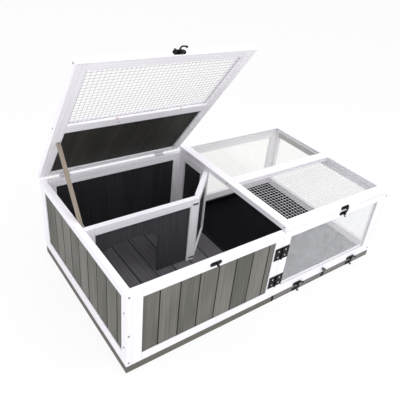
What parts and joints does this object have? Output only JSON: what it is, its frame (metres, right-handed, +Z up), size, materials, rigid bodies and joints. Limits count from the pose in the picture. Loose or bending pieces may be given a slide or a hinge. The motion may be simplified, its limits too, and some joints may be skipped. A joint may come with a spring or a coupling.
{
  "type": "wooden reptile enclosure",
  "caption": "Low wooden reptile enclosure with a planked hide room, hinged mesh lids, a side-hinged window door and a slide-out floor tray.",
  "frame": {"origin": "centre of the footprint, on the face that the enclosure stands on", "axes": "+X to the right seen from the front, +Y to the back, +Z up"},
  "size_m": [1.0508, 0.6285, 0.7916],
  "materials": {
    "white_paint": "satin white paint over wood grain",
    "grey_planks": "grey washed wood grain",
    "grey_wash": "grey washed wood",
    "base_paint": "matt grey-brown paint",
    "black_paint": "matt black paint",
    "dark_board": "matt dark grey board",
    "clear_acrylic": "clear",
    "wire": "white coated wire",
    "zinc": "zinc plated",
    "black_metal": "satin black",
    "screw_steel": "plated",
    "strap": "matt black",
    "bare_wood": "bare weathered wood"
  },
  "bodies": {
    "enclosure": {"base_frame": "base_paint", "bottom_panel": "base_paint", "middle_runner": "black_paint", "floor_planks": "grey_planks", "left_wall_frame": "white_paint", "left_wall_planks": "grey_planks", "front_panel_frame": "white_paint", "front_panel_planks": "grey_planks", "rear_left_frame": "white_paint", "rear_left_planks": "black_paint", "rear_right_frame": "white_paint", "rear_pane": "clear_acrylic", "right_wall_frame": "white_paint", "right_wall_top_rail": "grey_wash", "right_pane": "clear_acrylic", "partition_frame": "white_paint", "partition_panel": "dark_board", "slanted_frame": "white_paint", "slanted_panel": "dark_board", "side_partition_frame": "white_paint", "side_partition_panel": "black_paint", "front_keeper": "black_metal", "lid_hinge_leaves_fixed": "zinc", "lid_hinge_pins": "zinc", "door_hinge_leaves_fixed": "black_metal", "door_hinge_pins": "black_metal", "frame_screws": "screw_steel", "hinge_screws": "screw_steel", "prop_pivot": "zinc"},
    "left_lid": {"left_lid_frame": "white_paint", "left_lid_board": "dark_board", "left_lid_net": "wire", "left_lid_leaves": "zinc", "left_lid_latch_plate": "black_metal", "left_lid_screws": "screw_steel"},
    "left_lid_hook": {"left_lid_hook": "black_metal"},
    "right_lid": {"right_lid_frame": "white_paint", "right_lid_pane": "clear_acrylic", "right_lid_net": "wire", "right_lid_leaves": "zinc", "right_lid_keeper": "black_metal", "right_lid_screws": "screw_steel"},
    "door": {"door_frame": "white_paint", "door_pane": "clear_acrylic", "door_leaves": "black_metal", "door_latch_plates": "black_metal", "door_knob": "black_metal", "door_screws": "screw_steel"},
    "top_hook": {"top_hook": "black_metal"},
    "lower_hook_left": {"lower_hook_left": "black_metal"},
    "lower_hook_right": {"lower_hook_right": "black_metal"},
    "tray": {"tray_pan": "black_paint", "tray_front": "base_paint", "tray_keepers": "black_metal", "tray_pull": "strap", "tray_screws": "screw_steel"},
    "prop": {"prop_stick": "bare_wood"}
  },
  "joints": [
    {"name": "left_lid_hinge", "type": "hinge", "parent": "enclosure", "child": "left_lid", "pos_m": [-0.264, 0.30335, 0.291], "axis": [-1, 0, 0], "range_deg": [0, 50]},
    {"name": "right_lid_hinge", "type": "hinge", "parent": "enclosure", "child": "right_lid", "pos_m": [0.264, 0.30335, 0.291], "axis": [-1, 0, 0], "range_deg": [0, 105]},
    {"name": "door_hinge", "type": "hinge", "parent": "enclosure", "child": "door", "pos_m": [0.005, -0.30305, 0.153], "axis": [0, 0, -1], "range_deg": [0, 110]},
    {"name": "tray_slide", "type": "slide", "parent": "enclosure", "child": "tray", "axis": [0, -1, 0], "range_m": [0, 0.5]},
    {"name": "prop_swing", "type": "hinge", "parent": "enclosure", "child": "prop", "pos_m": [-0.5027, 0.022, 0.277], "axis": [1, 0, 0], "range_deg": [0, 60]},
    {"name": "left_lid_hook_swing", "type": "hinge", "parent": "left_lid", "child": "left_lid_hook", "pos_m": [-0.258, -0.05432, 0.77701], "axis": [0, -0.606, 0.7955], "range_deg": [-94, 20]},
    {"name": "top_hook_swing", "type": "hinge", "parent": "door", "child": "top_hook", "pos_m": [0.275, -0.3062, 0.279], "axis": [0, 1, 0], "range_deg": [0, 110]},
    {"name": "lower_hook_left_swing", "type": "hinge", "parent": "door", "child": "lower_hook_left", "pos_m": [0.1215, -0.3062, 0.033], "axis": [0, -1, 0], "range_deg": [-64, 40]},
    {"name": "lower_hook_right_swing", "type": "hinge", "parent": "door", "child": "lower_hook_right", "pos_m": [0.407, -0.3062, 0.033], "axis": [0, -1, 0], "range_deg": [-64, 40]}
  ]
}
